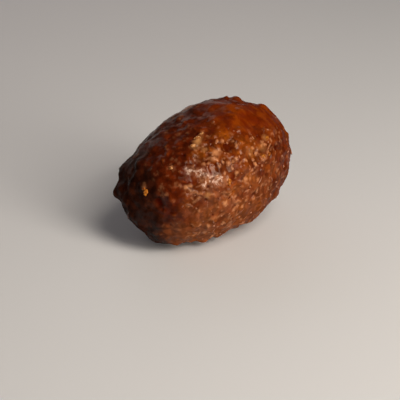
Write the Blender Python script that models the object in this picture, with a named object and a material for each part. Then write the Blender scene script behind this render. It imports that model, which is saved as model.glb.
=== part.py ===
"""An oval fried meatball, about 85 mm long, lying on its side on the small flat spot that it settled on.

It is one solid. The body is a tapered ovoid with slightly barrelled sides, as hands roll it. The pan pressed
flats into it, and the mince left knobs, dents, lumps, crags and cracks, which are relief in the closed surface.
+X points to the fuller end, -X to the end that browned darkest, +Z is up, and the flat spot lies at Z = 0.
"""

import math

import bmesh
import bpy
from mathutils import Vector, noise

MM = 0.001

# Driving sizes of the smooth body, before the pan and the mince shape it.
LENGTH = 85.6 * MM
WIDTH = 57.0 * MM
HEIGHT = 54.2 * MM
TAPER = 0.08  # how much fuller the +X end is, as a share of the width and height
BARREL = 2.2  # exponent of the cross sections: 2 is an ellipse, and more gives straighter sides
LIFT = math.radians(8.0)  # the long axis rises towards the fuller end
REST_DEPTH = 2.1 * MM  # how far the body settled into the flat spot below it

# Grid that the surface is made on: quads along X, across Y and up Z. All are about 1.7 mm wide.
GRID = (40, 27, 27)

# Flats where the pan pressed the soft meat: the way each faces, how deep it cuts, and how softly it ends.
PAN_FLATS = (
    ((-0.72, 0.16, -0.67), 0.9 * MM, 0.8 * MM),  # under the dark end
    ((-0.97, -0.22, 0.10), 1.2 * MM, 0.7 * MM),  # across the dark end
    ((0.05, 0.62, 0.78), 0.3 * MM, 0.8 * MM),  # along the upper far side
    ((-0.30, -0.62, -0.72), 0.5 * MM, 0.7 * MM),  # along the lower near side
)

# Knobs, and dents with a height below zero: the way each faces, its height, and its spread.
KNOBS = (
    ((-0.62, 0.72, 0.31), 1.8 * MM, 5.0 * MM),  # shoulder at the dark end
    ((-0.80, 0.60, -0.05), 2.6 * MM, 2.6 * MM),  # nose beside the shoulder
    ((-0.59, -0.11, -0.80), 2.0 * MM, 4.0 * MM),  # foot below the dark end
    ((0.38, 0.10, 0.92), 1.1 * MM, 2.2 * MM),  # peak on top
    ((0.48, 0.00, 0.88), -1.7 * MM, 2.2 * MM),  # notch behind the peak
    ((0.58, -0.16, 0.80), 0.8 * MM, 2.6 * MM),  # bump behind the notch
    ((0.11, -0.71, -0.70), 1.2 * MM, 6.5 * MM),  # belly low on the near side
    ((0.16, 0.00, -0.99), 1.3 * MM, 7.0 * MM),  # belly under the middle, which it rests on
    ((0.10, -0.62, 0.78), -1.2 * MM, 2.4 * MM),  # pit high on the near side
    ((0.86, -0.46, 0.22), -0.9 * MM, 2.2 * MM),  # pit near the fuller end
    ((-0.86, -0.50, 0.10), -1.3 * MM, 3.8 * MM),  # valley along the dark end's edge
    ((-0.66, -0.62, -0.42), -0.9 * MM, 3.4 * MM),  # the same valley, further down
    ((-0.55, -0.42, 0.72), 0.7 * MM, 5.0 * MM),  # swell above the valley
    ((0.15, 0.92, -0.35), 1.0 * MM, 5.5 * MM),  # swell on the far side
    ((0.74, -0.62, 0.25), 1.1 * MM, 3.2 * MM),  # swell at the fuller end
    ((0.72, 0.66, -0.20), -0.9 * MM, 4.0 * MM),  # hollow on the far side
)

# Relief of the mince. Each size is the distance from one form to the next.
LUMP_SIZE, LUMP_HEIGHT = 13.0 * MM, 0.70 * MM
LUMP_FALL, LUMP_STEP, LUMP_LAYERS = 0.9, 2.1, 2  # lower and finer lumps on the lumps
CRAG_SIZE, CRAG_HEIGHT = 6.5 * MM, 0.50 * MM
CRUMB_SIZE, CRUMB_HEIGHT = 4.4 * MM, 0.30 * MM
CREASE_STEEPNESS = 2.2  # how steeply crags and crumbs drop into the creases round them
CELL_BEND, CELL_BEND_PITCH = 0.35, 1.7  # how far noise bends them, and how often, in cells
CRACK_SIZE, CRACK_WIDTH, CRACK_DEPTH = 18.0 * MM, 0.12, 0.80 * MM
CRACK_BEND, CRACK_BEND_PITCH = 0.25, 3.1
TORN_PITCH, TORN_SHARE, TORN_EDGE = 0.8, 0.15, 3.0  # the places where the surface tore into cracks
PLACE_IN_NOISE = Vector((3.7, 8.1, 5.3))  # where in the noise this meatball lies
NOISE_SEED = 7  # seeds the noise that bends the crags and the cracks

CRUST_COLOUR = (0.155, 0.047, 0.012, 1.0)
CRUST_ROUGHNESS = 0.42


def clear_scene():
    for obj in list(bpy.data.objects):
        bpy.data.objects.remove(obj, do_unlink=True)


def box_grid():
    """A box from -1 to 1 whose edges are cut into GRID steps along each axis."""
    shell = bmesh.new()
    bmesh.ops.create_cube(shell, size=2.0)
    for axis, steps in enumerate(GRID):
        along = [
            edge
            for edge in shell.edges
            if abs((edge.verts[0].co - edge.verts[1].co).normalized()[axis]) > 0.9
        ]
        bmesh.ops.subdivide_edges(shell, edges=along, cuts=steps - 1, use_grid_fill=True)
    return shell


def ovoid(box_point):
    """The point of the smooth body that a point of the box stands for."""
    # Equal steps on a face of the box become equal angles seen from the centre.
    direction = Vector(math.tan(c * math.pi / 4) for c in box_point).normalized()
    size = sum(abs(c) ** BARREL for c in direction) ** (-1 / BARREL)
    x, y, z = direction * size
    girth = 1 + TAPER * x
    point = Vector((x * LENGTH / 2, y * girth * WIDTH / 2, z * girth * HEIGHT / 2))
    up, along = math.sin(LIFT), math.cos(LIFT)
    return Vector((point.x * along - point.z * up, point.y, point.x * up + point.z * along))


def press_flats(points):
    """Pushes the surface in along each pan flat, with a rounded edge."""
    for faces, depth, softness in PAN_FLATS:
        outward = Vector(faces).normalized()
        level = max(point.dot(outward) for point in points) - depth
        for point in points:
            over = (point.dot(outward) - level) / softness
            point -= outward * softness * math.log1p(math.exp(over))


def raise_knobs(points):
    """Adds each knob or dent round the point of the surface that reaches furthest its way."""
    for faces, height, spread in KNOBS:
        outward = Vector(faces).normalized()
        middle = max(points, key=outward.dot).copy()
        for point in points:
            near = (point - middle).length_squared / (2 * spread**2)
            point += outward * height * math.exp(-near)


def cobbles(point, size):
    """Rounded cells with creases between them, from -1 in a crease to about 1 on top."""
    place = point / size + PLACE_IN_NOISE
    place += CELL_BEND * noise.noise_vector(place * CELL_BEND_PITCH)
    nearest, second = noise.voronoi(place)[0][:2]
    return 2 * math.tanh(CREASE_STEEPNESS * (math.sqrt(second) - math.sqrt(nearest))) - 1


def crack(point):
    """1 along the middle of a crack, falling to 0 beside it. Cracks come only in torn places."""
    place = point / CRACK_SIZE + PLACE_IN_NOISE
    bent = place + CRACK_BEND * noise.noise_vector(place * CRACK_BEND_PITCH)
    course = noise.noise(bent) / CRACK_WIDTH
    torn = max(0.0, noise.noise(place * TORN_PITCH - PLACE_IN_NOISE) + TORN_SHARE)
    return math.exp(-course * course) * min(1.0, TORN_EDGE * torn)


def roughen(shell):
    """Moves each point of the surface along its normal by the relief of the mince."""
    shell.normal_update()
    normals = [vert.normal.copy() for vert in shell.verts]
    for vert, outward in zip(shell.verts, normals):
        place = vert.co
        lump_place = place / LUMP_SIZE + PLACE_IN_NOISE
        height = LUMP_HEIGHT * noise.fractal(lump_place, LUMP_FALL, LUMP_STEP, LUMP_LAYERS)
        height += CRAG_HEIGHT * cobbles(place, CRAG_SIZE)
        height += CRUMB_HEIGHT * cobbles(place, CRUMB_SIZE)
        height -= CRACK_DEPTH * crack(place)
        vert.co = place + outward * height


def settle(shell):
    """Flattens the lowest part and puts the origin under the middle of the bounding box, on the flat spot."""
    floor = min(vert.co.z for vert in shell.verts) + REST_DEPTH
    low = [min(vert.co[axis] for vert in shell.verts) for axis in range(2)]
    high = [max(vert.co[axis] for vert in shell.verts) for axis in range(2)]
    origin = Vector(((low[0] + high[0]) / 2, (low[1] + high[1]) / 2, floor))
    for vert in shell.verts:
        vert.co -= origin
        vert.co.z = max(vert.co.z, 0.0)


def crust_material():
    """Fried meat crust: dark orange brown with a fatty gloss."""
    material = bpy.data.materials.new("fried_crust")
    material.use_nodes = True
    shader = material.node_tree.nodes["Principled BSDF"]
    shader.inputs["Base Color"].default_value = CRUST_COLOUR
    shader.inputs["Roughness"].default_value = CRUST_ROUGHNESS
    shader.inputs["Metallic"].default_value = 0.0
    return material


def make_meatball():
    shell = box_grid()
    points = [ovoid(vert.co) for vert in shell.verts]
    press_flats(points)
    raise_knobs(points)
    for vert, point in zip(shell.verts, points):
        vert.co = point
    roughen(shell)
    settle(shell)
    bmesh.ops.triangulate(shell, faces=shell.faces[:], quad_method="SHORT_EDGE")
    bmesh.ops.recalc_face_normals(shell, faces=shell.faces[:])
    mesh = bpy.data.meshes.new("meatball")
    shell.to_mesh(mesh)
    shell.free()
    mesh.shade_smooth()
    mesh.materials.append(crust_material())
    meatball = bpy.data.objects.new("meatball", mesh)
    bpy.context.scene.collection.objects.link(meatball)
    return meatball


clear_scene()
noise.seed_set(NOISE_SEED)
make_meatball()
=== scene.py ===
"""A large oval fried meatball, dressed over its plain solid, on a pale table under soft lights.

It is built up as a cook would make it: strands and crumbs of mince are pressed onto a core, and fried until
they fuse into one crust. Bits of fat, fibres, onion and toasted crumb stick to it. Lengths are in metres.
"""

import math

import bmesh
import bpy
from mathutils import Matrix, Vector, noise


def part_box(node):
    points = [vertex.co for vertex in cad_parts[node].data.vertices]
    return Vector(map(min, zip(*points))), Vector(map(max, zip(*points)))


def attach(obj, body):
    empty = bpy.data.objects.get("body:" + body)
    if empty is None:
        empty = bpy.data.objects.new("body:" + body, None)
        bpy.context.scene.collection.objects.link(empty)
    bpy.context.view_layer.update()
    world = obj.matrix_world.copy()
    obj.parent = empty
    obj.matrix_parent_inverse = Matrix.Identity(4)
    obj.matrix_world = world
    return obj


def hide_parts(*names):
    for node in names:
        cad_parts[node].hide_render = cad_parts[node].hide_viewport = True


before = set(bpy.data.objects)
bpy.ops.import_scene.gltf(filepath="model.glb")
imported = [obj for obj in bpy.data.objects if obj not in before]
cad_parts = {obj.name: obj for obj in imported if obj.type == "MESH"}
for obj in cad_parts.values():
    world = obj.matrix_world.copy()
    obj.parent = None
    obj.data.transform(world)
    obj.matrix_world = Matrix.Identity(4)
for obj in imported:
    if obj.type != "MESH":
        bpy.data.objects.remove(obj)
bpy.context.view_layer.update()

# ----------------------------------------------------------------------------------------------------------
# Crust. The real meatball is minced beef and pork, squeezed out of the mincer as short strands, kneaded
# with crumbs and rolled into an oval. Frying fused its outside into one browned skin with creases, pits and
# a fine grain: near black at the end that lay longest in the pan, and glazed with fat and juice on top.
# ----------------------------------------------------------------------------------------------------------

MM = 0.001
LOW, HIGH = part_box("meatball")
MIDDLE, HALF = (LOW + HIGH) / 2, (HIGH - LOW) / 2

CORE_INSET = 0.25 * MM  # the core lies this far under the solid's surface, so the strands end up on it
MERGE_DISTANCE = 0.001 * MM  # the core's corners that lie closer than this are one
CRUST_GRID = 0.48 * MM  # the fused skin's faces are about this wide

# Each kind of bit: its spacing, its half sizes from smallest to largest, how far its middle is sunk, and how
# far it leans. The bits that lie highest also have the lightest tint. Tags hang from the underside alone.
STRANDS = {
    "Spacing": 2.4 * MM,
    "Smallest": (1.6 * MM, 1.1 * MM, 0.65 * MM),
    "Largest": (4.0 * MM, 1.9 * MM, 0.95 * MM),
    "Deepest": 0.75 * MM,
    "Highest": 0.36 * MM,
    "Lean": 0.18,
    "Seed": 11,
}
CRUMBS = {
    "Spacing": 2.3 * MM,
    "Smallest": (0.50 * MM, 0.45 * MM, 0.35 * MM),
    "Largest": (1.20 * MM, 0.85 * MM, 0.55 * MM),
    "Deepest": 0.45 * MM,
    "Highest": 0.10 * MM,
    "Lean": 0.35,
    "Seed": 23,
}
TAGS = {
    "Spacing": 7.0 * MM,
    "Smallest": (0.8 * MM, 0.7 * MM, 0.6 * MM),
    "Largest": (1.6 * MM, 1.0 * MM, 0.8 * MM),
    "Deepest": 0.45 * MM,
    "Highest": -0.20 * MM,
    "Lean": 0.90,
    "Seed": 31,
}
KNEADING = {"Bend Size": 4.0 * MM, "Bend": 1.0 * MM}
FRYING = {
    "Grain Size": 1.7 * MM,
    "Grain Height": 0.24 * MM,
    "Wrinkle Size": 3.4 * MM,
    "Wrinkle Height": 0.40 * MM,
    "Blister Size": 6.0 * MM,
    "Blister Height": 0.70 * MM,
    "Hole Size": 2.8 * MM,
    "Hole Depth": 0.40 * MM,
    "Fat Size": 2.2 * MM,
    "Fat Height": 0.20 * MM,
    "Fold Radius": 0.95 * MM,
    "Fold Height": 0.35 * MM,
    "Crease Depth": 0.28 * MM,
}

# Where the surface differs: the way each zone faces, the cosines where it starts and where it is full, how
# ragged its edge is, and the size of the patches in that edge.
ZONES = {
    "burnt end": ((-0.90, 0.38, -0.14), 0.55, 0.74, 0.45, 9 * MM),
    "browned flank": ((-0.45, 0.78, 0.43), 0.40, 0.82, 0.45, 9 * MM),
    "browned": ((-0.72, 0.68, 0.10), -0.21, 0.20, 0.45, 9 * MM),
    "glazed": ((0.35, -0.15, 0.92), 0.72, 0.93, 0.30, 12 * MM),
    "browned end": ((0.82, -0.54, -0.14), 0.42, 0.98, 0.30, 7 * MM),
    "under": ((-0.05, -0.32, -0.95), -0.20, 0.45, 0.30, 10 * MM),
    "fatty side": ((-0.08, -0.86, 0.42), 0.80, 0.97, 0.30, 5 * MM),
    "browned top": ((0.44, 0.50, 0.75), 0.78, 0.93, 0.35, 6 * MM),
    "dry side": ((-0.78, -0.42, 0.46), 0.86, 0.97, 0.20, 5 * MM),
    "bounce_lit foot": ((-0.65, -0.35, -0.68), 0.85, 0.96, 0.20, 6 * MM),
}

# Bumps and pits that stand out: where each lies, with the meatball's middle at 0 and its sides at 1, its
# radius, and how far it is raised.
MARKS = (
    ((-0.12, -0.67, 0.67), 2.8 * MM, -1.6 * MM),  # deep red pit
    ((-0.24, -0.60, 0.70), 1.8 * MM, 0.6 * MM),  # its rim
    ((0.45, -0.86, 0.42), 1.3 * MM, -1.1 * MM),
    ((-0.49, -0.79, 0.23), 0.8 * MM, -0.7 * MM),
    ((-0.88, -0.36, 0.02), 2.2 * MM, -0.9 * MM),
    ((0.62, 0.40, 0.66), 1.6 * MM, -1.1 * MM),
    ((0.56, 0.14, 0.89), 2.8 * MM, 1.7 * MM),  # peak on top
    ((0.63, -0.08, 0.84), 1.4 * MM, -0.7 * MM),  # notch behind it
    ((0.71, -0.20, 0.78), 2.6 * MM, 1.2 * MM),  # bump behind the notch
    ((0.42, 0.31, 0.93), 3.2 * MM, -0.8 * MM),
    ((-0.93, 0.38, -0.01), 2.2 * MM, 1.2 * MM),  # tip of the nose
    ((-0.93, 0.53, -0.13), 2.6 * MM, 0.8 * MM),
    ((-0.97, 0.24, -0.09), 2.6 * MM, 0.9 * MM),
    ((-0.38, -0.54, -0.84), 2.6 * MM, 1.3 * MM),  # tags along the lower near side
    ((-0.22, -0.58, -0.86), 2.0 * MM, 0.9 * MM),
    ((-0.63, -0.34, -0.84), 2.6 * MM, 0.8 * MM),
    ((0.10, -0.72, -0.72), 3.5 * MM, -0.7 * MM),
    ((0.52, -0.78, -0.49), 4.5 * MM, 0.5 * MM),
    ((0.56, -0.82, -0.42), 1.9 * MM, -0.6 * MM),
)
# Films of fat that lie smooth and wet: where each lies, its radius, and how strongly it shows.
FILMS = (
    ((-0.58, -0.58, 0.48), 2.2 * MM, 1.0),
    ((-0.53, -0.66, 0.43), 2.6 * MM, 1.0),
    ((-0.49, -0.70, 0.40), 2.4 * MM, 1.0),
    ((-0.47, -0.78, 0.31), 2.8 * MM, 1.2),
    ((-0.40, -0.82, 0.29), 2.8 * MM, 1.2),
    ((-0.34, -0.86, 0.28), 2.6 * MM, 1.2),
    ((-0.48, -0.53, 0.58), 1.6 * MM, 0.8),
    ((-0.52, -0.77, 0.24), 1.8 * MM, 0.8),
    ((0.18, 0.46, 0.88), 3.0 * MM, 1.0),  # along the top
    ((0.06, 0.53, 0.85), 3.5 * MM, 1.0),
    ((-0.08, 0.58, 0.80), 3.5 * MM, 1.0),
)
# Single large grains of fat, several put where the lights glint, so that their pale salmon is partly a
# painted glint:
# where each lies, its radius, and how strongly it shows.
GRAINS_AND_GLINTS = (
    ((-0.16, -0.72, 0.61), 0.9 * MM, 1.0),
    ((-0.12, -0.82, 0.51), 0.9 * MM, 0.9),
    ((-0.08, -0.87, 0.45), 0.7 * MM, 0.8),
    ((-0.19, -0.85, 0.40), 0.8 * MM, 0.8),
    ((-0.16, -0.88, 0.32), 0.8 * MM, 1.0),
    ((-0.18, -0.90, 0.26), 0.7 * MM, 1.0),
    ((-0.21, -0.79, 0.49), 0.9 * MM, 0.8),
    ((-0.32, -0.76, 0.48), 0.9 * MM, 0.7),
    ((-0.28, -0.64, 0.64), 1.6 * MM, 1.0),
    ((-0.34, -0.67, 0.57), 1.2 * MM, 0.9),
    ((-0.23, -0.65, 0.67), 1.0 * MM, 0.8),
    ((-0.44, -0.63, 0.52), 1.0 * MM, 0.7),
    ((-0.39, -0.66, 0.52), 0.8 * MM, 0.7),
    ((-0.02, -0.96, 0.17), 0.9 * MM, 0.9),
    ((0.08, -0.97, -0.08), 0.9 * MM, 0.8),
    ((-0.20, -0.93, -0.04), 0.8 * MM, 0.8),
    ((-0.34, -0.91, -0.09), 1.0 * MM, 1.0),
    ((-0.68, -0.62, 0.25), 1.0 * MM, 1.0),
    ((-0.64, -0.65, 0.26), 1.0 * MM, 0.8),
    ((-0.69, -0.69, -0.01), 0.7 * MM, 0.8),
    ((-0.19, -0.55, 0.75), 0.7 * MM, 1.0),
    ((-0.14, -0.58, 0.74), 0.8 * MM, 0.9),
    ((-0.06, -0.65, 0.72), 0.7 * MM, 1.0),
    ((0.23, -0.91, 0.39), 1.4 * MM, 0.8),
    ((-0.91, -0.10, 0.26), 1.0 * MM, 0.5),
    ((-0.92, -0.12, 0.20), 0.9 * MM, 0.7),
    ((-0.84, -0.36, 0.25), 0.8 * MM, 0.4),
    ((-0.83, -0.45, 0.17), 0.9 * MM, 0.4),
    ((0.46, -0.85, 0.47), 0.8 * MM, 0.7),
    ((-0.70, -0.36, 0.52), 0.8 * MM, 1.0),
)
# Folds of the crust, with fat in them: the start, the middle and the end of each.
FOLDS = (
    ((-0.72, -0.56, 0.30), (-0.66, -0.66, 0.20), (-0.56, -0.77, 0.15)),
    ((-0.56, -0.77, 0.15), (-0.40, -0.87, 0.08), (-0.20, -0.92, 0.11)),
    ((-0.29, -0.89, 0.20), (-0.15, -0.92, 0.20), (-0.03, -0.97, 0.07)),
    ((-0.27, -0.93, -0.19), (-0.21, -0.94, -0.13), (-0.15, -0.95, -0.15)),
    ((-0.65, -0.69, 0.15), (-0.65, -0.74, 0.03), (-0.58, -0.76, 0.09)),
    ((-0.52, -0.80, -0.34), (-0.43, -0.87, -0.30), (-0.35, -0.91, -0.28)),
    ((-0.65, -0.70, -0.35), (-0.61, -0.72, -0.41), (-0.57, -0.74, -0.40)),
    ((-0.40, -0.60, 0.59), (-0.32, -0.66, 0.60), (-0.22, -0.67, 0.64)),
    ((0.40, -0.85, -0.20), (0.55, -0.78, -0.14), (0.66, -0.70, -0.22)),
    ((0.75, 0.30, 0.45), (0.86, 0.10, 0.40), (0.88, -0.15, 0.38)),
    ((0.20, 0.90, 0.20), (0.34, 0.88, 0.10), (0.45, 0.82, 0.15)),
)
FOLD_STEPS = 12  # straight pieces that each fold's line is drawn with
# Spots that onion and crumbs stained cream: where each lies, its radius, and how strongly it shows.
STAINS = (
    ((-0.32, -0.34, 0.79), 1.7 * MM, 0.70),
    ((-0.35, -0.36, 0.76), 1.6 * MM, 0.55),
    ((-0.41, -0.39, 0.72), 1.7 * MM, 0.40),
    ((-0.26, -0.31, 0.84), 1.2 * MM, 0.40),
    ((-0.35, -0.50, 0.68), 1.4 * MM, 0.35),
    # These three, on the near side to the right, are partly painted glints of the lights on fat.
    ((0.35, -0.75, 0.62), 1.5 * MM, 0.45),
    ((0.25, -0.82, 0.52), 2.0 * MM, 0.30),
    ((0.08, -0.84, 0.54), 2.4 * MM, 0.22),
    ((0.30, 0.72, 0.60), 2.0 * MM, 0.50),
    ((-0.52, -0.83, 0.10), 1.4 * MM, 0.45),
)

MATH, VECTOR_MATH, MIX, MAP_RANGE, NOISE = (
    "ShaderNode" + name for name in ("Math", "VectorMath", "Mix", "MapRange", "TexNoise")
)
ADD, SUBTRACT, MULTIPLY, DIVIDE, MAXIMUM = (
    {"operation": name} for name in ("ADD", "SUBTRACT", "MULTIPLY", "DIVIDE", "MAXIMUM")
)
SCALE, DISTANCE, DOT_PRODUCT = ({"operation": name} for name in ("SCALE", "DISTANCE", "DOT_PRODUCT"))
COLOURS = {"data_type": "RGBA", "clamp_factor": True}
VECTORS = {"data_type": "FLOAT_VECTOR"}
# A node of MAP_RANGE is given its value, the range that it comes from, and the range that it turns into.
SMOOTH = {"interpolation_type": "SMOOTHSTEP"}


def add_node(tree, kind, settings=None, links=()):
    """Adds a node with its settings and fills its inputs in use, from a list in order or by number or name.

    A value can be a socket or another node, which stands for its first output in use.
    """
    node = tree.nodes.new(kind)
    for name, value in (settings or {}).items():
        setattr(node, name, value)
    sockets = [socket for socket in node.inputs if socket.enabled]
    for key, value in (links if isinstance(links, dict) else dict(enumerate(links))).items():
        socket = sockets[key] if isinstance(key, int) else next(s for s in sockets if s.name == key)
        if isinstance(value, bpy.types.Node):
            value = next(output for output in value.outputs if output.enabled)
        if isinstance(value, bpy.types.NodeSocket):
            tree.links.new(value, socket)
        else:
            socket.default_value = value
    return node


def zone(tree, place, name):
    """1 inside a zone of the surface and 0 outside, with a ragged edge."""
    faces, start, full, ragged, patch = ZONES[name]
    ball = add_node(tree, VECTOR_MATH, SUBTRACT, [place, MIDDLE])
    ball = add_node(tree, VECTOR_MATH, DIVIDE, [ball, HALF])
    cosine = add_node(tree, VECTOR_MATH, DOT_PRODUCT, [ball, Vector(faces).normalized()])
    stray = {"Vector": place, "Scale": 1 / patch, "Detail": 4.0}
    stray = add_node(tree, NOISE, None, stray)
    stray = add_node(tree, MATH, SUBTRACT, [stray, 0.5])
    stray = add_node(tree, MATH, MULTIPLY, [stray, ragged])
    edge = add_node(tree, MATH, ADD, [cosine, stray])
    return add_node(tree, MAP_RANGE, SMOOTH, [edge, start, full, 0.0, 1.0])


def linear(colour):
    """The linear RGBA of an sRGB hex colour."""
    parts = [int(colour[i : i + 2], 16) / 255 for i in (1, 3, 5)]
    return tuple(c / 12.92 if c <= 0.04045 else ((c + 0.055) / 1.055) ** 2.4 for c in parts) + (1.0,)


def new_finish(name):
    """A new material with its node tree, its shader, and where each point of the surface lies."""
    material = bpy.data.materials.new(name)
    material.use_nodes = True
    tree = material.node_tree
    place = add_node(tree, "ShaderNodeTexCoord").outputs["Object"]
    return material, tree, tree.nodes["Principled BSDF"], place


# Colours of the crust, and where there are two, of its lowest and its highest strands.
PLAIN_MEAT = (linear("#431303"), linear("#78390C"))
BROWNED_MEAT = (linear("#310C03"), linear("#5B2109"))
BURNT_MEAT = (linear("#1C0C07"), linear("#37180E"))
# The underside is painted paler: paler meat, with painted light thrown up from the table.
UNDERSIDE_AND_BOUNCE_LIGHT = linear("#733E20")  # the underside, which browned least
# Painted light thrown up from the table onto the foot beside the burnt end.
FOOT_BOUNCE_LIGHT = linear("#7A4628")
JUICY = linear("#511302")
FAT_SOAKED = linear("#914E10")
GLAZE = (linear("#642103"), linear("#7A3506"))  # in and between the streaks
JUICY_GLAZE = linear("#4B1302")
BROWN_IN_BLACK = linear("#4A2310")
# Strands that stand proud are painted lighter, a painted highlight on the raised tips.
LIT_TIPS, LIT_BURNT_TIPS = linear("#A2551F"), linear("#4A2414")  # strands that stand proud
# A creamy film of fat, partly a painted highlight under the wet films.
CREAMY_FILM_AND_HIGHLIGHT = linear("#B5805F")
# Salmon grains of fat, partly painted glints of the lights.
SALMON_FAT_AND_GLINT = linear("#C08860")
CREAM_STAIN = linear("#B68655")
# Creases are darkened partly by the juice in them and partly by painted shade.
CREASE_JUICE_AND_SHADE = linear("#400C02")

# Sizes of the patterns in its finish.
JUICE_PATCH = 7 * MM
STREAK = (4 * MM, 8 * MM, 8 * MM)  # along X, across Y and up Z
SCORCH_PATCH = 4 * MM
MEAT_GRAIN = 1.8 * MM
FAT_MOTTLE = 1.3 * MM
WET_PATCH = 5 * MM
FIBRE_SPACING = 0.8 * MM

DRY_ROUGHNESS, WET_ROUGHNESS = 0.62, 0.36
GREASE_ROUGHNESS = 0.14  # of the coat
FAT_IOR = 1.45
TOASTED, FOOT_BOUNCE_SHARE, SCORCHED_FLANK = 0.65, 0.6, 0.55  # how strongly the milder zones show


def fried_mince():
    """Fried mince: browned protein and sugar, matte in itself, under a thin coat of fat and juice.

    The eye sees brown and dark red strands with paler fat between them, and broken wet highlights.
    """
    material, tree, shader, place = new_finish("fried_mince_crust")
    tint, crease, fat, stain, film = (
        add_node(tree, "ShaderNodeAttribute", {"attribute_name": name}).outputs["Fac"]
        for name in ("tint", "crease", "fat", "stain", "film")
    )
    zones = {name: zone(tree, place, name) for name in ZONES}

    meat = add_node(tree, MIX, COLOURS, [tint, *PLAIN_MEAT])
    # The underside is painted paler, partly with painted light thrown up from the table.
    meat = add_node(tree, MIX, COLOURS, [zones["under"], meat, UNDERSIDE_AND_BOUNCE_LIGHT])

    # Juice reddened the crust in patches, and fat lightened it between them. Both are weaker underneath.
    patches = {"Vector": place, "Scale": 1 / JUICE_PATCH, "Detail": 4.0}
    patch = add_node(tree, NOISE, None, patches)
    red = add_node(tree, MAP_RANGE, SMOOTH, [patch, 0.52, 0.64, 0.0, 0.80])
    even = add_node(tree, MAP_RANGE, None, [zones["under"], 0.0, 1.0, 1.0, 0.4])
    red = add_node(tree, MATH, MULTIPLY, [red, even])
    meat = add_node(tree, MIX, COLOURS, [red, meat, JUICY])
    pale = add_node(tree, MAP_RANGE, SMOOTH, [patch, 0.47, 0.35, 0.0, 0.70])
    pale = add_node(tree, MATH, MULTIPLY, [pale, even])
    meat = add_node(tree, MIX, COLOURS, [pale, meat, FAT_SOAKED])

    # The glaze runs down from the top in soft streaks.
    streaks = add_node(tree, VECTOR_MATH, DIVIDE, [place, STREAK])
    streaks = {"Vector": streaks, "Scale": 1.0, "Detail": 2.0, "Distortion": 0.5}
    streaks = add_node(tree, NOISE, None, streaks)
    streaks = add_node(tree, MAP_RANGE, SMOOTH, [streaks, 0.35, 0.65, 0.0, 1.0])
    glaze = add_node(tree, MIX, COLOURS, [streaks, *GLAZE])
    red = add_node(tree, MATH, MULTIPLY, [red, 0.7])
    glaze = add_node(tree, MIX, COLOURS, [red, glaze, JUICY_GLAZE])
    meat = add_node(tree, MIX, COLOURS, [zones["glazed"], meat, glaze])

    # The far side browned fully, and the fuller end and the back of the top in part.
    dark = add_node(tree, MIX, COLOURS, [tint, *BROWNED_MEAT])
    toasted = add_node(tree, MATH, MAXIMUM, [zones["browned end"], zones["browned top"]])
    toasted = add_node(tree, MATH, MULTIPLY, [toasted, TOASTED])
    browned = add_node(tree, MATH, MAXIMUM, [zones["browned"], toasted])
    meat = add_node(tree, MIX, COLOURS, [browned, meat, dark])

    # The foot beside the burnt end is painted paler: painted light thrown up onto it from the table.
    bounce_lit = add_node(tree, MATH, MULTIPLY, [zones["bounce_lit foot"], FOOT_BOUNCE_SHARE])
    meat = add_node(tree, MIX, COLOURS, [bounce_lit, meat, FOOT_BOUNCE_LIGHT])

    # The burnt end is mottled, with brown patches left in the black. The flank beside it is half as burnt.
    scorch = {"Vector": place, "Scale": 1 / SCORCH_PATCH, "Detail": 5.0, "Roughness": 0.6}
    scorch = add_node(tree, NOISE, None, scorch)
    scorch = add_node(tree, MAP_RANGE, SMOOTH, [scorch, 0.52, 0.70, 0.0, 0.7])
    black = add_node(tree, MIX, COLOURS, [tint, *BURNT_MEAT])
    black = add_node(tree, MIX, COLOURS, [scorch, black, BROWN_IN_BLACK])
    flank = add_node(tree, MATH, MULTIPLY, [zones["browned flank"], SCORCHED_FLANK])
    burnt = add_node(tree, MATH, MAXIMUM, [zones["burnt end"], flank])
    meat = add_node(tree, MIX, COLOURS, [burnt, meat, black])

    # The grains of the meat are darker or lighter than each other, except under the glaze.
    grains = {"Vector": place, "Scale": 1 / MEAT_GRAIN, "Smoothness": 0.5}
    grains = add_node(tree, "ShaderNodeTexVoronoi", {"feature": "SMOOTH_F1"}, grains)
    shade = add_node(tree, "ShaderNodeSeparateColor", None, [grains.outputs["Color"]])
    shade = add_node(tree, MAP_RANGE, None, [shade, 0.2, 0.8, 0.75, 1.25])
    grained = add_node(tree, VECTOR_MATH, SCALE, [meat, shade])
    smooth = add_node(tree, MAP_RANGE, None, [zones["glazed"], 0.0, 1.0, 1.0, 0.25])
    meat = add_node(tree, MIX, COLOURS, [smooth, meat, grained])
    # Strands that stand proud are painted lighter: a painted highlight on the raised tips.
    proud = add_node(tree, MAP_RANGE, SMOOTH, [crease, -0.2, -1.2, 0.0, 0.30])
    proud = add_node(tree, MATH, MULTIPLY, [proud, smooth])
    lit_tips = add_node(tree, MIX, COLOURS, [burnt, LIT_TIPS, LIT_BURNT_TIPS])
    meat = add_node(tree, MIX, COLOURS, [proud, meat, lit_tips])

    # Films of fat are creamy and mottled, a tint that is partly a painted highlight. Grains of it browned to
    # a salmon, some of them painted glints, and creases stay deep red, partly with juice and partly with
    # painted shade.
    mottle = {"Vector": place, "Scale": 1 / FAT_MOTTLE, "Detail": 2.0}
    mottle = add_node(tree, NOISE, None, mottle)
    mottle = add_node(tree, MAP_RANGE, SMOOTH, [mottle, 0.44, 0.53, 0.10, 1.0])
    # Under the wet films the crust is painted creamy: partly the film of fat and partly a painted highlight.
    creamy_highlight = add_node(tree, MAP_RANGE, None, [mottle, 0.1, 1.0, 0.15, 0.40])
    creamy_highlight = add_node(tree, MATH, MULTIPLY, [film, creamy_highlight])
    # Grains of fat are painted salmon, some of them standing for painted glints.
    fatty = add_node(tree, MATH, MULTIPLY, [fat, 0.85])
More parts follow.
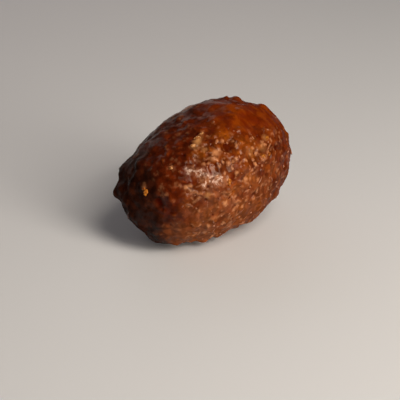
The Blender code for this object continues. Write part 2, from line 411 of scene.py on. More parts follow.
    # How far a point lies in a crease. There the crust is painted a deep red, partly juice and partly
    # painted shade.
    deep = add_node(tree, MAP_RANGE, SMOOTH, [crease, 0.15, 1.2, 0.0, 0.85])
    shares = ((creamy_highlight, CREAMY_FILM_AND_HIGHLIGHT), (fatty, SALMON_FAT_AND_GLINT), (stain, CREAM_STAIN), (deep, CREASE_JUICE_AND_SHADE))
    for share, colour in shares:
        meat = add_node(tree, MIX, COLOURS, [share, meat, colour])
    tree.links.new(meat.outputs[2], shader.inputs["Base Color"])

    # Fat and juice wet the crust in patches, more in the films and less in creases, low down, on the dry
    # side and at both ends.
    wet = {"Vector": place, "Scale": 1 / WET_PATCH, "Detail": 4.0}
    wet = add_node(tree, NOISE, None, wet)
    wet = add_node(tree, MAP_RANGE, SMOOTH, [wet, 0.40, 0.60, 0.08, 0.50])
    dull = add_node(tree, MATH, MAXIMUM, [zones["under"], zones["burnt end"]])
    dull = add_node(tree, MATH, MAXIMUM, [dull, zones["browned end"]])
    dull = add_node(tree, MATH, MULTIPLY, [dull, 0.6])
    dull = add_node(tree, MATH, MAXIMUM, [dull, zones["dry side"]])
    dull = add_node(tree, MAP_RANGE, None, [dull, 0.0, 1.0, 1.0, 0.20])
    wet = add_node(tree, MATH, MULTIPLY, [wet, dull])
    greasy = add_node(tree, MATH, MULTIPLY, [film, mottle])
    wet = add_node(tree, MATH, MAXIMUM, [wet, greasy])
    dry = add_node(tree, MATH, SUBTRACT, [1.0, deep])
    wet = add_node(tree, MATH, MULTIPLY, [wet, dry])
    roughness = [wet, 0.0, 1.0, DRY_ROUGHNESS, WET_ROUGHNESS]
    roughness = add_node(tree, MAP_RANGE, None, roughness)
    tree.links.new(roughness.outputs[0], shader.inputs["Roughness"])
    tree.links.new(wet.outputs[0], shader.inputs["Coat Weight"])
    shader.inputs["Coat Roughness"].default_value = GREASE_ROUGHNESS
    shader.inputs["IOR"].default_value = FAT_IOR
    shader.inputs["Specular IOR Level"].default_value = 0.0

    # The fibres of the meat are 0.1 mm thick, too fine to show, so they are drawn further apart.
    fine = {"Vector": place, "Scale": 1 / FIBRE_SPACING, "Detail": 3.0, "Roughness": 0.6}
    fine = add_node(tree, NOISE, None, fine)
    bump = {"Strength": 0.45, "Distance": 0.2 * MM, "Height": fine}
    bump = add_node(tree, "ShaderNodeBump", None, bump)
    tree.links.new(bump.outputs[0], shader.inputs["Normal"])
    return material


def geometry_tree(name, sizes):
    """A new geometry tree with one named input for each size, and its group input and output nodes."""
    tree = bpy.data.node_groups.new(name, "GeometryNodeTree")
    tree.interface.new_socket("Geometry", in_out="INPUT", socket_type="NodeSocketGeometry")
    tree.interface.new_socket("Geometry", in_out="OUTPUT", socket_type="NodeSocketGeometry")
    kinds = {float: "Float", int: "Int", tuple: "Vector", bpy.types.Object: "Object"}
    for label, value in sizes.items():
        tree.interface.new_socket(label, in_out="INPUT", socket_type=f"NodeSocket{kinds[type(value)]}")
    return tree, tree.nodes.new("NodeGroupInput").outputs, tree.nodes.new("NodeGroupOutput").inputs


def add_modifier(piece, tree, sizes):
    """Puts the tree on the piece and sets its named inputs."""
    modifier = piece.modifiers.new(tree.name, "NODES")
    modifier.node_group = tree
    for item in tree.interface.items_tree:
        if item.in_out == "INPUT" and item.name in sizes:
            modifier[item.identifier] = sizes[item.name]


def add_piece(name, mesh):
    """A new object with this mesh, at the origin."""
    piece = bpy.data.objects.new(name, mesh)
    bpy.context.scene.collection.objects.link(piece)
    return piece


def plain_mesh(piece, name):
    """The piece's mesh as its modifiers leave it, with only the material that its faces use."""
    graph = bpy.context.evaluated_depsgraph_get()
    mesh = bpy.data.meshes.new_from_object(piece.evaluated_get(graph), depsgraph=graph)
    mesh.name = name
    used = mesh.materials[mesh.polygons[0].material_index]
    mesh.materials.clear()
    mesh.materials.append(used)
    return mesh


MOST_POINTS = 3e6  # a square metre, so many that the spacing alone decides how many bits there are


def lay_bits(tree, given, bit, share=1.0):
    """Lays copies of a bit on the surface, turned, sized and sunk at random, each with its own tint."""
    seed = given["Seed"]
    spread = add_node(
        tree,
        "GeometryNodeDistributePointsOnFaces",
        {"distribute_method": "POISSON"},
        {
            "Mesh": given["Geometry"],
            "Distance Min": given["Spacing"],
            "Density Max": MOST_POINTS,
            "Density Factor": share,
            "Seed": seed,
        },
    )
    height = {"Min": given["Deepest"], "Max": given["Highest"], "Seed": seed}
    height = add_node(tree, "FunctionNodeRandomValue", None, height)
    height = add_node(tree, MATH, MULTIPLY, [height, -1.0])
    lift = add_node(tree, VECTOR_MATH, SCALE, [spread.outputs["Normal"], height])
    points = {"Geometry": spread, "Offset": lift}
    points = add_node(tree, "GeometryNodeSetPosition", None, points)
    back = add_node(tree, MATH, MULTIPLY, [given["Lean"], -1.0])
    least = add_node(tree, "ShaderNodeCombineXYZ", None, [back, back, 0.0])
    most = add_node(tree, "ShaderNodeCombineXYZ", None, [given["Lean"], given["Lean"], math.tau])
    turn = {"Min": least, "Max": most, "Seed": seed}
    turn = add_node(tree, "FunctionNodeRandomValue", VECTORS, turn)
    turn = add_node(tree, "FunctionNodeEulerToRotation", None, [turn])
    lying = {"rotation_space": "LOCAL"}
    lying = add_node(tree, "FunctionNodeRotateRotation", lying, [spread.outputs["Rotation"], turn])
    size = {"Min": given["Smallest"], "Max": given["Largest"], "Seed": seed}
    size = add_node(tree, "FunctionNodeRandomValue", VECTORS, size)
    laid = {"Points": points, "Instance": bit, "Rotation": lying, "Scale": size}
    laid = add_node(tree, "GeometryNodeInstanceOnPoints", None, laid)
    tint = add_node(tree, "FunctionNodeRandomValue", None, {"Seed": seed})
    tinted = {"Geometry": laid, "Name": "tint", "Value": tint}
    return add_node(tree, "GeometryNodeStoreNamedAttribute", {"domain": "INSTANCE"}, tinted)


def finish_tree(tree, geometry, material, result):
    """Ends a tree with real faces of one material."""
    real = add_node(tree, "GeometryNodeRealizeInstances", None, {"Geometry": geometry})
    faced = add_node(tree, "GeometryNodeSetMaterial", None, {"Geometry": real, "Material": material})
    tree.links.new(faced.outputs[0], result[0])


def pressed_bits(name, sizes, material, only_in=None):
    """Presses rounded bits into the surface, everywhere or in one zone, and keeps the surface with them."""
    tree, given, result = geometry_tree(name, sizes)
    place = add_node(tree, "GeometryNodeInputPosition")
    share = zone(tree, place, only_in) if only_in else 1.0
    bit = add_node(tree, "GeometryNodeMeshIcoSphere", None, {"Radius": 1.0, "Subdivisions": 3})
    laid = lay_bits(tree, given, bit, share)
    both = add_node(tree, "GeometryNodeJoinGeometry")
    for geometry in (given["Geometry"], laid.outputs[0]):
        tree.links.new(geometry, both.inputs[0])
    finish_tree(tree, both, material, result)
    return tree


NOISE_MIDDLE = (0.5, 0.5, 0.5)


def kneading(sizes, material):
    """Bends everything by smooth noise."""
    tree, given, result = geometry_tree("Kneading", sizes)
    place = add_node(tree, "GeometryNodeInputPosition")
    pitch = add_node(tree, MATH, DIVIDE, [1.0, given["Bend Size"]])
    waves = add_node(tree, NOISE, None, {"Vector": place, "Scale": pitch, "Detail": 1.0})
    push = add_node(tree, VECTOR_MATH, SUBTRACT, [waves.outputs["Color"], NOISE_MIDDLE])
    push = add_node(tree, VECTOR_MATH, SCALE, [push, given["Bend"]])
    bent = add_node(tree, "GeometryNodeSetPosition", None, {"Geometry": given["Geometry"], "Offset": push})
    finish_tree(tree, bent, material, result)
    return tree


SPOT_EDGE, SPOT_CORE = 1.5, 0.2  # in radii, where a spot fades out, and inside which it is full


def spots(tree, place, given):
    """The sum of soft round spots, each given by where it lies, its radius and its value in the middle."""
    total = add_node(tree, MATH, ADD, [0.0, 0.0])
    for where, radius, value in given:
        middle = MIDDLE + Vector(where) * HALF
        distance = add_node(tree, VECTOR_MATH, DISTANCE, [place, middle])
        spot = [distance, SPOT_EDGE * radius, SPOT_CORE * radius, 0.0, value]
        spot = add_node(tree, MAP_RANGE, SMOOTH, spot)
        total = add_node(tree, MATH, ADD, [total, spot])
    return total


TEARING = 3 * MM  # how far the noise's whole range moves the outlines of spots, grains and folds
FRAY_SIZE = 1.3 * MM  # of the frayed edges of the grains of fat
FAT_CLUSTER = 6 * MM  # the size of the clusters that those grains lie in
CELL_MEAN = 0.45  # the mean distance in a pattern of cells, so that cells rise as much as gaps sink
GLAZE_FILL, BURNT_FILL, FILM_FILL = 0.8, 0.5, 0.5  # how far hollows are filled there
FLANK_MELT = 0.7  # how far the browned flank melted, where the burnt end is at 1
SMOOTHEST = 0.35  # how much of the grain is left where hollows are filled
SKIN_BLUR, FILL_BLUR, TINT_BLUR, CREASE_BLUR = 4, 9, 6, 10  # steps, each of which reaches a face further


def frying(mince, folds, sizes, material):
    """Smooths the fused skin, adds its grain, wrinkles, blisters and pits, and flattens its base."""
    tree, given, result = geometry_tree("Frying", sizes)
    place = add_node(tree, "GeometryNodeInputPosition").outputs[0]
    normal = add_node(tree, "GeometryNodeInputNormal").outputs[0]
    pitch = {
        name: add_node(tree, MATH, DIVIDE, [1.0, given[name + " Size"]])
        for name in ("Grain", "Wrinkle", "Blister", "Hole", "Fat")
    }

    mince = add_node(tree, "GeometryNodeObjectInfo", None, {"Object": mince}).outputs["Geometry"]
    tint = add_node(tree, "GeometryNodeInputNamedAttribute", None, {"Name": "tint"})
    tint = add_node(tree, "GeometryNodeSampleNearestSurface", None, {"Mesh": mince, "Value": tint})
    tint = add_node(tree, "GeometryNodeBlurAttribute", None, {"Value": tint, "Iterations": TINT_BLUR})
    tinted = {"Geometry": given["Geometry"], "Name": "tint", "Value": tint}
    tinted = add_node(tree, "GeometryNodeStoreNamedAttribute", None, tinted)
    soft = {"Value": place, "Iterations": SKIN_BLUR}
    soft = add_node(tree, "GeometryNodeBlurAttribute", VECTORS, soft)
    smoothed = add_node(tree, "GeometryNodeSetPosition", None, {"Geometry": tinted, "Position": soft})

    # Each place is moved by noise, for ragged outlines.
    tearing = {"Vector": place, "Scale": pitch["Wrinkle"], "Detail": 4.0, "Roughness": 0.7}
    tearing = add_node(tree, NOISE, None, tearing)
    stray = add_node(tree, VECTOR_MATH, SUBTRACT, [tearing.outputs["Color"], NOISE_MIDDLE])
    torn = add_node(tree, VECTOR_MATH, SCALE, [stray, TEARING])
    torn = add_node(tree, VECTOR_MATH, ADD, [place, torn])

    # Fat and juice filled the hollows of the glazed top and of the films, and the burnt end melted smooth.
    glazed = zone(tree, place, "glazed")
    burnt = zone(tree, place, "burnt end")
    melted = add_node(tree, MATH, MAXIMUM, [glazed, burnt])
    smooth = add_node(tree, MATH, MULTIPLY, [glazed, GLAZE_FILL])
    flank = zone(tree, place, "browned flank")
    flank = add_node(tree, MATH, MULTIPLY, [flank, FLANK_MELT])
    burnt = add_node(tree, MATH, MAXIMUM, [burnt, flank])
    baked = add_node(tree, MATH, MULTIPLY, [burnt, BURNT_FILL])
    smooth = add_node(tree, MATH, MAXIMUM, [smooth, baked])
    clamped = {"operation": "ADD", "use_clamp": True}
    film = add_node(tree, MATH, clamped, [spots(tree, torn, FILMS), 0.0])
    greasy = add_node(tree, MATH, MULTIPLY, [film, FILM_FILL])
    filled = add_node(tree, MATH, MAXIMUM, [smooth, greasy])
    rough = add_node(tree, MAP_RANGE, None, [filled, 0.0, 1.0, 1.0, SMOOTHEST])
    filled = {"Value": place, "Iterations": FILL_BLUR, "Weight": filled}
    filled = add_node(tree, "GeometryNodeBlurAttribute", VECTORS, filled)
    smoothed = {"Geometry": smoothed, "Position": filled}
    smoothed = add_node(tree, "GeometryNodeSetPosition", None, smoothed)

    grain = {"Vector": place, "Scale": pitch["Grain"], "Smoothness": 0.35}
    grain = add_node(tree, "ShaderNodeTexVoronoi", {"feature": "SMOOTH_F1"}, grain)
    grain = add_node(tree, MATH, SUBTRACT, [CELL_MEAN, grain.outputs["Distance"]])
    grain = add_node(tree, MATH, MULTIPLY, [grain, given["Grain Height"]])
    wrinkle = {"Vector": place, "Scale": pitch["Wrinkle"], "Detail": 3.0}
    wrinkle |= {"Roughness": 0.6, "Distortion": 0.6}
    wrinkle = add_node(tree, NOISE, None, wrinkle)
    wrinkle = add_node(tree, MATH, SUBTRACT, [wrinkle, 0.5])
    wrinkle = add_node(tree, MATH, MULTIPLY, [wrinkle, given["Wrinkle Height"]])
    height = add_node(tree, MATH, ADD, [grain, wrinkle])
    height = add_node(tree, MATH, MULTIPLY, [height, rough])

    # Small holes lie in some of the cells of a coarser pattern.
    holes = add_node(tree, "ShaderNodeTexVoronoi", None, {"Vector": place, "Scale": pitch["Hole"]})
    inside = add_node(tree, MAP_RANGE, SMOOTH, [holes.outputs["Distance"], 0.34, 0.12, 0.0, 1.0])
    chosen = add_node(tree, "ShaderNodeSeparateXYZ", None, [holes.outputs["Color"]])
    chosen = add_node(tree, MAP_RANGE, SMOOTH, [chosen, 0.74, 0.88, 0.0, 1.0])
    hole = add_node(tree, MATH, MULTIPLY, [inside, chosen])
    hole = add_node(tree, MATH, MULTIPLY, [hole, rough])
    hole = add_node(tree, MATH, MULTIPLY, [hole, given["Hole Depth"]])
    height = add_node(tree, MATH, SUBTRACT, [height, hole])

    # Frayed grains of fat stand a little proud in clusters, and few where the crust is dark or glazed.
    grains = add_node(tree, "ShaderNodeTexVoronoi", None, {"Vector": torn, "Scale": pitch["Fat"]})
    frayed = {"Vector": place, "Scale": 1 / FRAY_SIZE, "Detail": 2.0}
    frayed = add_node(tree, NOISE, None, frayed)
    frayed = add_node(tree, MAP_RANGE, None, [frayed, 0.3, 0.7, -0.25, 0.25])
    frayed = add_node(tree, MATH, ADD, [grains.outputs["Distance"], frayed])
    fat = add_node(tree, MAP_RANGE, SMOOTH, [frayed, 0.55, 0.15, 0.0, 1.0])
    chosen = add_node(tree, "ShaderNodeSeparateXYZ", None, [grains.outputs["Color"]])
    chosen = add_node(tree, MAP_RANGE, SMOOTH, [chosen, 0.40, 0.70, 0.0, 1.0])
    fat = add_node(tree, MATH, MULTIPLY, [fat, chosen])
    cluster = {"Vector": place, "Scale": 1 / FAT_CLUSTER, "Detail": 2.0}
    cluster = add_node(tree, NOISE, None, cluster)
    cluster = add_node(tree, MAP_RANGE, SMOOTH, [cluster, 0.38, 0.58, 0.0, 0.8])
    fatty = zone(tree, place, "fatty side")
    cluster = add_node(tree, MATH, MAXIMUM, [cluster, fatty])
    fat = add_node(tree, MATH, MULTIPLY, [fat, cluster])
    covered = [zone(tree, place, "browned"), zone(tree, place, "browned end")]
    covered = add_node(tree, MATH, MAXIMUM, covered)
    covered = add_node(tree, MATH, MULTIPLY, [covered, 0.7])
    covered = add_node(tree, MATH, MAXIMUM, [covered, melted])
    plain = add_node(tree, MATH, SUBTRACT, [1.0, covered])
    fat = add_node(tree, MATH, MULTIPLY, [fat, plain])
    large = spots(tree, torn, GRAINS_AND_GLINTS)
    fat = add_node(tree, MATH, MAXIMUM, [fat, large])
    proud = add_node(tree, MATH, MULTIPLY, [fat, given["Fat Height"]])
    height = add_node(tree, MATH, ADD, [height, proud])

    # The folds are broken ridges along lines laid on the skin.
    lines = add_node(tree, "GeometryNodeObjectInfo", None, {"Object": folds}).outputs["Geometry"]
    nearest = {"target_element": "FACES"}
    nearest = add_node(tree, "GeometryNodeProximity", nearest, [given["Geometry"]]).outputs["Position"]
    lines = add_node(tree, "GeometryNodeSetPosition", None, {"Geometry": lines, "Position": nearest})
    away = {"Geometry": lines, "Sample Position": torn}
    away = add_node(tree, "GeometryNodeProximity", {"target_element": "EDGES"}, away).outputs["Distance"]
    fold = add_node(tree, MAP_RANGE, SMOOTH, [away, given["Fold Radius"], 0.0, 0.0, 1.0])
    whole = add_node(tree, MAP_RANGE, SMOOTH, [tearing.outputs["Fac"], 0.42, 0.56, 0.10, 1.0])
    fold = add_node(tree, MATH, MULTIPLY, [fold, whole])
    ridge = add_node(tree, MATH, MULTIPLY, [fold, given["Fold Height"]])
    height = add_node(tree, MATH, ADD, [height, ridge])
    fold = add_node(tree, MATH, MULTIPLY, [fold, 0.6])
    fat = add_node(tree, MATH, MAXIMUM, [fat, fold])

    # The burnt end and the flank beside it swelled into smooth blisters.
    blister = {"Vector": place, "Scale": pitch["Blister"], "Smoothness": 0.30}
    blister = add_node(tree, "ShaderNodeTexVoronoi", {"feature": "SMOOTH_F1"}, blister)
    blister = add_node(tree, MATH, SUBTRACT, [CELL_MEAN, blister.outputs["Distance"]])
    blister = add_node(tree, MATH, MULTIPLY, [blister, given["Blister Height"]])
    blister = add_node(tree, MATH, MULTIPLY, [blister, burnt])
    height = add_node(tree, MATH, ADD, [height, blister])

    raised = spots(tree, place, MARKS)
    height = add_node(tree, MATH, ADD, [height, raised])
    stain = spots(tree, torn, STAINS)

    # All of it is laid on at once, along the normals.
    lift = add_node(tree, VECTOR_MATH, SCALE, [normal, height])
    fried = add_node(tree, "GeometryNodeSetPosition", None, {"Geometry": smoothed, "Offset": lift})

    # A point that lies under the average of the points around it is in a crease.
    around = {"Value": place, "Iterations": CREASE_BLUR}
    around = add_node(tree, "GeometryNodeBlurAttribute", VECTORS, around)
    above = add_node(tree, VECTOR_MATH, SUBTRACT, [around, place])
    depth = add_node(tree, VECTOR_MATH, DOT_PRODUCT, [above, normal])
    raised = add_node(tree, MATH, MULTIPLY, [raised, 0.15])
    depth = add_node(tree, MATH, SUBTRACT, [depth, raised])
    depth = add_node(tree, MATH, DIVIDE, [depth, given["Crease Depth"]])
    creased = {"Geometry": fried, "Name": "crease", "Value": depth}
    creased = add_node(tree, "GeometryNodeStoreNamedAttribute", None, creased)
    for name, value in (("fat", fat), ("stain", stain), ("film", film)):
        creased = {"Geometry": creased, "Name": name, "Value": value}
        creased = add_node(tree, "GeometryNodeStoreNamedAttribute", None, creased)

    # The crust is flattened where it rests on the table.
    parts = add_node(tree, "ShaderNodeSeparateXYZ", None, [place])
    level = add_node(tree, MATH, MAXIMUM, [parts.outputs["Z"], 0.0])
    rested = add_node(tree, "ShaderNodeCombineXYZ", None, [parts.outputs["X"], parts.outputs["Y"], level])
    flat = add_node(tree, "GeometryNodeSetPosition", None, {"Geometry": creased, "Position": rested})
    finish_tree(tree, flat, material, result)
    return tree


def core_mesh():
    """The solid's mesh as one closed skin, drawn in a little."""
    shell = bmesh.new()
    shell.from_mesh(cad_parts["meatball"].data)
    bmesh.ops.remove_doubles(shell, verts=shell.verts, dist=MERGE_DISTANCE)
    shell.normal_update()
    for vert in shell.verts:
        vert.co -= vert.normal * CORE_INSET
    mesh = bpy.data.meshes.new("core")
    shell.to_mesh(mesh)
    shell.free()
    tint = mesh.attributes.new("tint", "FLOAT", "POINT")
    tint.data.foreach_set("value", [0.5] * len(mesh.vertices))
    return mesh


def fold_lines():
    """The middle lines of the folds, as a mesh of edges alone."""
    lines = bmesh.new()
    for start, middle, end in FOLDS:
        start, middle, end = (MIDDLE + Vector(where) * HALF for where in (start, middle, end))
        pull = 2 * middle - (start + end) / 2
        last = lines.verts.new(start)
        for step in range(1, FOLD_STEPS + 1):
            along = step / FOLD_STEPS
            point = lines.verts.new(start.lerp(pull, along).lerp(pull.lerp(end, along), along))
            lines.edges.new((last, point))
            last = point
    mesh = bpy.data.meshes.new("folds")
    lines.to_mesh(mesh)
    lines.free()
    return mesh


crust_finish = fried_mince()
core = add_piece("core", core_mesh())
core.modifiers.new("Rounding", "SUBSURF").render_levels = 1
add_modifier(core, pressed_bits("Strands", STRANDS, crust_finish), STRANDS)
add_modifier(core, pressed_bits("Crumbs", CRUMBS, crust_finish), CRUMBS)
add_modifier(core, pressed_bits("Tags", TAGS, crust_finish, only_in="under"), TAGS)
add_modifier(core, kneading(KNEADING, crust_finish), KNEADING)
mince = add_piece("mince", plain_mesh(core, "mince"))
bpy.data.objects.remove(core)

meatball = add_piece("meatball_crust", mince.data.copy())
fusing = meatball.modifiers.new("Fusing", "REMESH")
fusing.mode = "VOXEL"
fusing.voxel_size = CRUST_GRID
folds = add_piece("folds", fold_lines())
add_modifier(meatball, frying(mince, folds, FRYING, crust_finish), FRYING)
crust = plain_mesh(meatball, "meatball_crust")
crust.shade_smooth()
meatball.modifiers.clear()
meatball.data = crust
bpy.data.objects.remove(mince)
bpy.data.objects.remove(folds)
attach(meatball, "root")
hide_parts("meatball")

# ----------------------------------------------------------------------------------------------------------
# Fat grains. Grains of pork fat and rusk about a millimetre across came to the surface and browned to a
# pale salmon. They are pressed into the crust, and few lie where it is glazed, browned or burnt.
# ----------------------------------------------------------------------------------------------------------

FAT_GRAINS = {
    "Spacing": 5.5 * MM,
    "Smallest": (0.35 * MM, 0.30 * MM, 0.28 * MM),
    "Largest": (0.75 * MM, 0.55 * MM, 0.45 * MM),
    "Deepest": 0.26 * MM,
    "Highest": 0.05 * MM,
    "Lean": 0.30,
    "Seed": 5,
}
BARE_SHARE = 0.03  # how many of the grains stay where the crust is glazed, browned or burnt


def loose_bits(name, sizes, bit_of, material):
    """Lays bits on the crust where it is plain, and keeps only the bits."""
    tree, given, result = geometry_tree(name, sizes)
    place = add_node(tree, "GeometryNodeInputPosition")
    covered = zone(tree, place, "browned")
    for other in ("glazed", "browned flank", "burnt end"):
        covered = add_node(tree, MATH, MAXIMUM, [covered, zone(tree, place, other)])
    share = add_node(tree, MAP_RANGE, None, [covered, 0.0, 1.0, 1.0, BARE_SHARE])
    finish_tree(tree, lay_bits(tree, given, bit_of(tree), share), material, result)
    return tree


def grain_bit(tree):
    """A ball of radius 1, which each grain's sizes squeeze."""
    return add_node(tree, "GeometryNodeMeshIcoSphere", None, {"Radius": 1.0, "Subdivisions": 2})


FAT_BLOTCH = 0.9 * MM
BLOTCHED_FAT, DARKENED_FAT = linear("#804828"), linear("#4A1B0A")


def browned_fat(name, dull, bright):
    """Pork fat or sinew, browned: paler than the meat, with a greasy gloss, and dark on the browned side."""
    material, tree, shader, place = new_finish(name)
    tint = add_node(tree, "ShaderNodeAttribute", {"attribute_name": "tint"}).outputs["Fac"]
    fat = add_node(tree, MIX, COLOURS, [tint, linear(dull), linear(bright)])
    blotches = {"Vector": place, "Scale": 1 / FAT_BLOTCH, "Detail": 2.0}
    blotches = add_node(tree, NOISE, None, blotches)
    blotches = add_node(tree, MAP_RANGE, SMOOTH, [blotches, 0.40, 0.65, 0.0, 0.5])
    fat = add_node(tree, MIX, COLOURS, [blotches, fat, BLOTCHED_FAT])
    fat = add_node(tree, MIX, COLOURS, [zone(tree, place, "browned"), fat, DARKENED_FAT])
    tree.links.new(fat.outputs[2], shader.inputs["Base Color"])
    roughness = add_node(tree, MAP_RANGE, None, [blotches, 0.0, 0.5, 0.30, 0.45])
    tree.links.new(roughness.outputs[0], shader.inputs["Roughness"])
    shader.inputs["Coat Weight"].default_value = 0.5
    shader.inputs["Coat Roughness"].default_value = 0.15
    shader.inputs["IOR"].default_value = FAT_IOR
    shader.inputs["Specular IOR Level"].default_value = 0.1
    return material


def stick_on(name, sizes, bit_of, material):
    """Makes one piece of the bits that lie on the crust, riding with it."""
    piece = add_piece(name, crust.copy())
    add_modifier(piece, loose_bits(name, sizes, bit_of, material), sizes)
    bits = plain_mesh(piece, name)
    bits.shade_smooth()
    piece.modifiers.clear()
    piece.data = bits
    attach(piece, "root")


stick_on("fat_grains", FAT_GRAINS, grain_bit, browned_fat("browned_fat", "#7C4424", "#B88262"))

# ----------------------------------------------------------------------------------------------------------
# Mince fibres. Sinew and muscle fibres, pulled loose as the meat was minced, lie on the crust as thin pale
# threads 2 to 5 mm long. Both ends of each are sunk in.
# ----------------------------------------------------------------------------------------------------------

MINCE_FIBRES = {
    "Spacing": 8.0 * MM,
    "Smallest": (1.2 * MM, 0.70 * MM, 0.50 * MM),
    "Largest": (2.6 * MM, 1.10 * MM, 0.70 * MM),
    "Deepest": 0.42 * MM,
    "Highest": 0.22 * MM,
    "Lean": 0.08,
    "Seed": 8,
}


def fibre_bit(tree):
    """A thread along X that arches over the surface, with its ends below it."""
    arch = {"Start": (-1.0, -0.3, -1.0), "Middle": (0.1, 0.9, 1.6), "End": (1.0, -0.4, -1.0)}
    arch["Resolution"] = 8
    arch = add_node(tree, "GeometryNodeCurveQuadraticBezier", None, arch)
    outline = {"Resolution": 6, "Radius": 0.42}
    outline = add_node(tree, "GeometryNodeCurvePrimitiveCircle", None, outline)
    return add_node(tree, "GeometryNodeCurveToMesh", None, [arch, outline, 1.0, True])


stick_on("mince_fibres", MINCE_FIBRES, fibre_bit, browned_fat("browned_sinew", "#683418", "#9C6644"))

# ----------------------------------------------------------------------------------------------------------
# Onion and toasted crumbs. A few bits stand out by their colour: cream bits of fried onion, and crumbs
# toasted to a golden orange. Each is a rounded flake pressed halfway into the crust.
# ----------------------------------------------------------------------------------------------------------

# Each bit: where it lies, with the meatball's middle at 0 and its sides at 1, its half sizes in millimetres,
# and its turn in degrees.
ONION_BITS = (
    ((-0.32, -0.31, 0.80), (1.5, 0.7, 0.5), 50),
    ((-0.41, -0.36, 0.73), (1.1, 0.8, 0.4), 20),
    ((-0.25, -0.30, 0.84), (0.8, 0.5, 0.4), 70),
    ((-0.71, -0.37, 0.50), (0.8, 0.6, 0.5), 10),
    ((0.30, 0.72, 0.60), (1.6, 0.6, 0.4), 130),
    ((0.75, 0.45, 0.30), (1.2, 0.7, 0.4), 40),
)
GOLDEN_CRUMBS = (
    ((-0.92, -0.16, 0.13), (1.4, 1.0, 0.6), 80),
    ((-0.92, -0.12, 0.18), (0.8, 0.6, 0.5), 30),
    ((0.37, -0.78, 0.61), (1.1, 0.8, 0.5), 30),
    ((0.22, -0.90, 0.41), (1.3, 0.8, 0.5), 0),
    ((0.30, -0.88, 0.40), (0.9, 0.7, 0.5), 60),
    ((-0.26, -0.89, 0.22), (1.5, 1.1, 0.7), 60),
    ((0.45, 0.80, 0.20), (1.2, 0.8, 0.5), 20),
)

FLAKE_BEND, FLAKE_BEND_SIZE = 0.35 * MM, 0.8 * MM  # how far noise bends the flakes, and the noise's size
FLAKE_SEED = 3


def flakes(name, bits, material):
    """One piece of flakes pressed halfway into the crust."""
    shell = bmesh.new()
    for where, sizes, turn in bits:
        _, spot, outward, _ = meatball.closest_point_on_mesh(MIDDLE + Vector(where) * HALF)
        lying = outward.to_track_quat("Z", "Y").to_matrix().to_4x4()
        turned = Matrix.Rotation(math.radians(turn), 4, "Z")
        sized = Matrix.Diagonal((*(size * MM for size in sizes), 1.0))
        laid = Matrix.Translation(spot) @ lying @ turned @ sized
        bmesh.ops.create_icosphere(shell, subdivisions=3, radius=1.0, matrix=laid)
    for vert in shell.verts:
        vert.co += FLAKE_BEND * noise.noise_vector(vert.co / FLAKE_BEND_SIZE)
    mesh = bpy.data.meshes.new(name)
    shell.to_mesh(mesh)
    shell.free()
    mesh.materials.append(material)
    mesh.shade_smooth()
    piece = add_piece(name, mesh)
    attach(piece, "root")


def greasy(name, dull, bright, mottle_size):
    """A greasy vegetable or crumb finish, mottled between two colours at the real mottle's size."""
    material, tree, shader, place = new_finish(name)
    mottle = {"Vector": place, "Scale": 1 / mottle_size, "Detail": 3.0}
    mottle = add_node(tree, NOISE, None, mottle)
    mottle = add_node(tree, MAP_RANGE, SMOOTH, [mottle, 0.38, 0.62, 0.0, 1.0])
    colour = add_node(tree, MIX, COLOURS, [mottle, linear(dull), linear(bright)])
    tree.links.new(colour.outputs[2], shader.inputs["Base Color"])
    roughness = add_node(tree, MAP_RANGE, None, [mottle, 0.0, 1.0, 0.60, 0.40])
    tree.links.new(roughness.outputs[0], shader.inputs["Roughness"])
    shader.inputs["Coat Weight"].default_value = 0.2
    shader.inputs["Coat Roughness"].default_value = 0.20
    shader.inputs["Specular IOR Level"].default_value = 0.1
    return material


noise.seed_set(FLAKE_SEED)
# Fried onion: pale and slightly see-through, so it takes some of the meat's brown.
flakes("onion_bits", ONION_BITS, greasy("fried_onion", "#9C6434", "#CFA677", 0.8 * MM))
# Toasted crumb: dry bread, golden to orange, with a little fat on it.
flakes("golden_crumbs", GOLDEN_CRUMBS, greasy("toasted_crumb", "#7C3C0A", "#B9782A", 0.7 * MM))

# ----------------------------------------------------------------------------------------------------------
# Table, light and camera. The meatball lies on a pale matt tabletop. A softbox at the right and a lamp above
# it make the wet highlights, a weak window further right fills the shade, and a bright wall behind lends the
# dark crust its sheen.
# ----------------------------------------------------------------------------------------------------------

TABLE_SIZE = 3.0
TABLE_GAP = 0.05 * MM  # keeps the tabletop clear of the meatball's flat spot
TABLE_CLOUD = 400 * MM  # the size of the faint clouds in its colour
TABLE_COLOURS = (linear("#D6E5F6"), linear("#DAE8F9"))


def table_finish():
    """White laminate, pressed matt: pale, even and faintly cool."""
    material, tree, shader, place = new_finish("white_laminate")
    cloud = add_node(tree, NOISE, None, {"Vector": place, "Scale": 1 / TABLE_CLOUD})
    shade = add_node(tree, MIX, COLOURS, [cloud, *TABLE_COLOURS])
    tree.links.new(shade.outputs[2], shader.inputs["Base Color"])
    shader.inputs["Roughness"].default_value = 0.55
    return material


reach = TABLE_SIZE / 2
corners = [(x * reach, y * reach, -TABLE_GAP) for x, y in ((-1, -1), (1, -1), (1, 1), (-1, 1))]
top = bpy.data.meshes.new("table")
top.from_pydata(corners, [], [(0, 1, 2, 3)])
top.materials.append(table_finish())
add_piece("table", top)


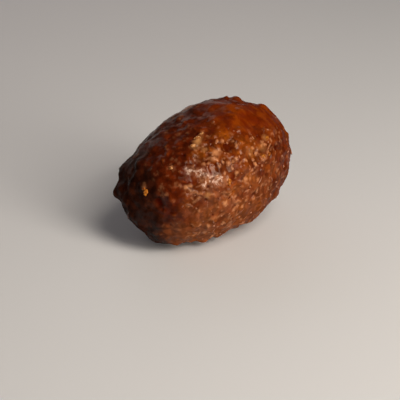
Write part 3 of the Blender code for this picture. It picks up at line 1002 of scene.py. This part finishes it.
def add_light(name, towards, distance, width, height, power, colour):
    """A soft light that faces the meatball from this direction."""
    lamp = bpy.data.lights.new(name, "AREA")
    lamp.shape = "RECTANGLE"
    lamp.size = width
    lamp.size_y = height
    lamp.energy = power
    lamp.color = linear(colour)[:3]
    holder = bpy.data.objects.new(name, lamp)
    bpy.context.scene.collection.objects.link(holder)
    direction = Vector(towards).normalized()
    holder.location = MIDDLE + direction * distance
    holder.rotation_euler = direction.to_track_quat("Z", "Y").to_euler()


# Each light: the way to it from the meatball, how far off it stands, its width, height, power and colour.
add_light("window", (0.46, -0.76, 0.46), 1.00, 0.70, 0.70, 0.3, "#FFF0E2")
add_light("softbox", (0.06, -0.88, 0.44), 0.85, 0.34, 0.62, 6.2, "#FFE6CC")
add_light("lamp", (-0.09, -0.58, 0.81), 0.85, 0.30, 0.42, 3.2, "#FFE6CC")
add_light("back_wall", (0.27, 0.93, 0.34), 1.20, 1.70, 1.10, 3.0, "#FFE8E0")

ROOM_COLOUR, ROOM_STRENGTH = linear("#F6E8D8"), 0.08

scene = bpy.context.scene
scene.view_settings.view_transform = "Standard"
scene.world = bpy.data.worlds.new("room")
scene.world.use_nodes = True
room = scene.world.node_tree.nodes["Background"]
room.inputs["Color"].default_value = ROOM_COLOUR
room.inputs["Strength"].default_value = ROOM_STRENGTH

CAMERA_PITCH = math.radians(27.3)
CAMERA_TURN = math.radians(-45.0)
CAMERA_DISTANCE = 0.495
CAMERA_OFFSET = (-0.0020, -0.0140)  # how far it stands right and up of the line to the meatball's middle
CAMERA_LENS, CAMERA_SENSOR = 102.15, 36.0  # in millimetres
CAMERA_NEAREST = 0.01  # nothing closer than this is drawn
camera_data = bpy.data.cameras.new("camera")
camera_data.lens = CAMERA_LENS
camera_data.sensor_width = CAMERA_SENSOR
camera_data.clip_start = CAMERA_NEAREST
camera = bpy.data.objects.new("camera", camera_data)
scene.collection.objects.link(camera)
camera.rotation_euler = (math.pi / 2 - CAMERA_PITCH, 0.0, CAMERA_TURN)
turned = camera.rotation_euler.to_matrix()
camera.location = MIDDLE + turned @ Vector((*CAMERA_OFFSET, CAMERA_DISTANCE))
scene.camera = camera
